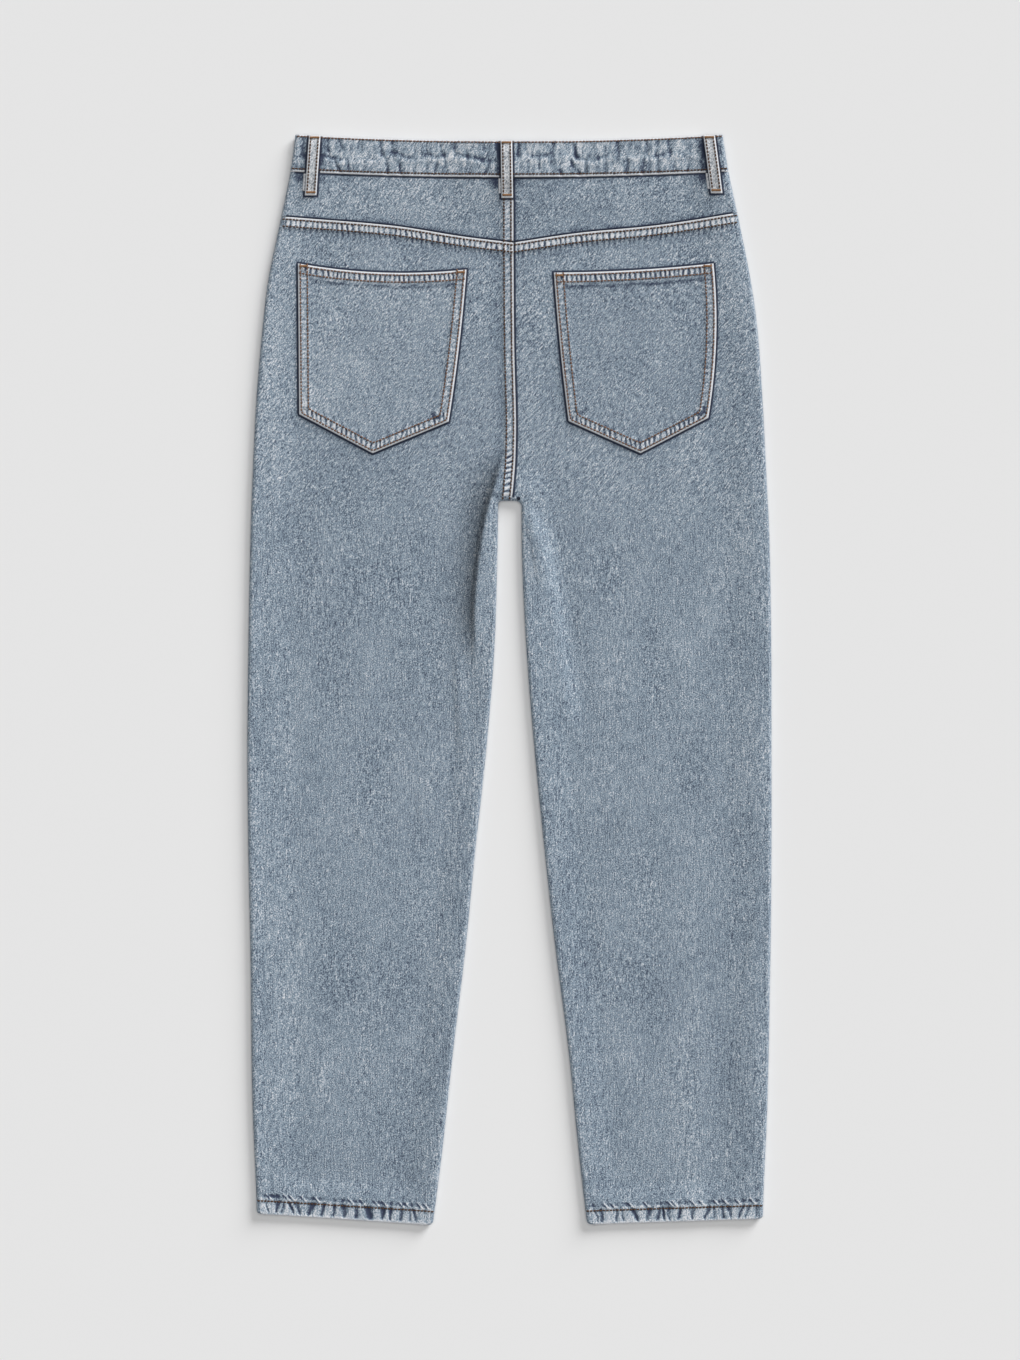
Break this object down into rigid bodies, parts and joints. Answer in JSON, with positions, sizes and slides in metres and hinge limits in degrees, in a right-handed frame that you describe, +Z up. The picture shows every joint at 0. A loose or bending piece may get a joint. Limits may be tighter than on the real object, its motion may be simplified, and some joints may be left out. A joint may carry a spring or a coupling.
{
  "type": "loose fit jeans laid flat",
  "caption": "Loose fit, light blue washed denim jeans laid face down and flat, showing the yokes, back patch pockets, belt loops and tapered legs.",
  "frame": {"origin": "on the surface that the jeans lie on, under the middle of the laid garment", "axes": "+X to the wearer's right, +Y from the hems to the waist, +Z up, out of the back of the jeans"},
  "size_m": [0.5027, 1.0463, 0.0124],
  "materials": {
    "denim": "stone washed twill, matt",
    "pocket_denim": "stone washed twill, matt",
    "band_denim": "stone washed twill, matt",
    "loop_denim": "stone washed twill, abraded edges",
    "thread": "spun sewing thread, matt",
    "metal": "antique, dull"
  },
  "bodies": {
    "root": {"back_panel_left": "denim", "back_panel_right": "denim", "yoke_left": "denim", "yoke_right": "denim", "front_panel_left": "denim", "front_panel_right": "denim", "front_facing_left": "denim", "front_facing_right": "denim", "back_pocket_left": "pocket_denim", "back_pocket_right": "pocket_denim", "waistband": "band_denim", "belt_loop_left": "loop_denim", "belt_loop_centre": "loop_denim", "belt_loop_right": "loop_denim", "belt_loop_front_left": "loop_denim", "belt_loop_front_right": "loop_denim", "waist_button": "metal"}
  },
  "joints": []
}
